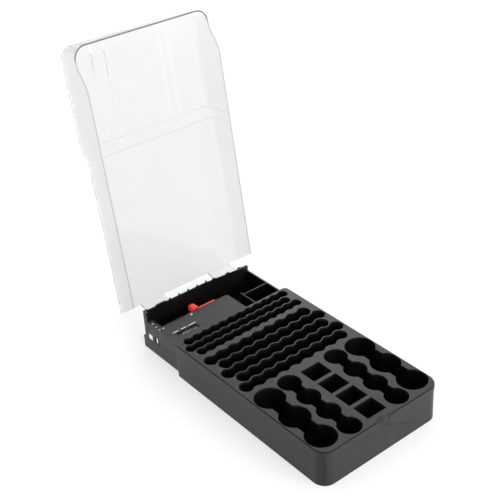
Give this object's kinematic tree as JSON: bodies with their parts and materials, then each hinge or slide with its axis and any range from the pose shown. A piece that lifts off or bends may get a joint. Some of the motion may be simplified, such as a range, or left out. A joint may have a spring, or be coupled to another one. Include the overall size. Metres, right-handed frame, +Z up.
{
  "type": "battery storage case",
  "caption": "Tray with upright wells for round and square cells, a rear bay with a lift-out battery tester, and a stepped clear lid hinged at the rear.",
  "frame": {"origin": "on the table, in the middle of the case's footprint", "axes": "+Z up, +Y towards the hinge at the back, +X to the right seen from the front; stored with the lid open"},
  "size_m": [0.1812, 0.4183, 0.3699],
  "materials": {
    "case_plastic": "fine satin, moulded",
    "tester_plastic": "fine satin, moulded",
    "clear_plastic": "clear, polished",
    "window_plastic": "clear, polished",
    "dial_card": "printed card",
    "red_plastic": "smooth satin",
    "meter_plastic": "moulded",
    "magnet": "ground",
    "coil_copper": "wound wire",
    "needle_metal": "white paint",
    "steel": "plated",
    "contact_metal": "nickel plate",
    "board": "laminate",
    "resistor": "lacquer"
  },
  "bodies": {
    "case": {"large_cell_tray": "case_plastic", "aa_cell_tray": "case_plastic", "aaa_cell_tray": "case_plastic", "tester_bay": "case_plastic", "hinge_pins": "steel"},
    "lid": {"lid_cover": "clear_plastic"},
    "tester": {"tester_bottom_shell": "tester_plastic", "tester_top_shell": "tester_plastic", "shell_screws": "steel", "gauge_window": "window_plastic", "gauge_dial": "dial_card", "meter_housing": "meter_plastic", "meter_magnet": "magnet", "guide_rod": "steel", "arm_contact": "contact_metal", "snap_plate": "contact_metal", "snap_blade": "contact_metal", "circuit_board": "board", "load_resistors": "resistor", "slider_spring": "steel"},
    "needle": {"gauge_needle": "needle_metal", "needle_shaft": "steel", "moving_coil": "coil_copper"},
    "slider": {"slider_carriage": "meter_plastic", "slider_knob": "red_plastic", "slider_contact": "contact_metal"}
  },
  "joints": [
    {"name": "lid_hinge", "type": "hinge", "parent": "case", "child": "lid", "pos_m": [0, 0.17206, 0.0324], "axis": [-1, 0, 0], "range_deg": [-98, 0]},
    {"name": "tester_lift", "type": "slide", "parent": "case", "child": "tester", "axis": [0, 0, 1], "range_m": [0, 0.06]},
    {"name": "slider_slide", "type": "slide", "parent": "tester", "child": "slider", "axis": [1, 0, 0], "range_m": [0, 0.019], "stiffness_N_per_m": 60, "springref_m": -0.01, "deforming": ["slider_spring"]},
    {"name": "needle_turn", "type": "hinge", "parent": "tester", "child": "needle", "pos_m": [-0.0535, 0.09896, 0.0372], "axis": [0, 0, -1], "range_deg": [0, 80], "stiffness_Nm_per_rad": 0.00002, "springref_deg": -5.73}
  ]
}
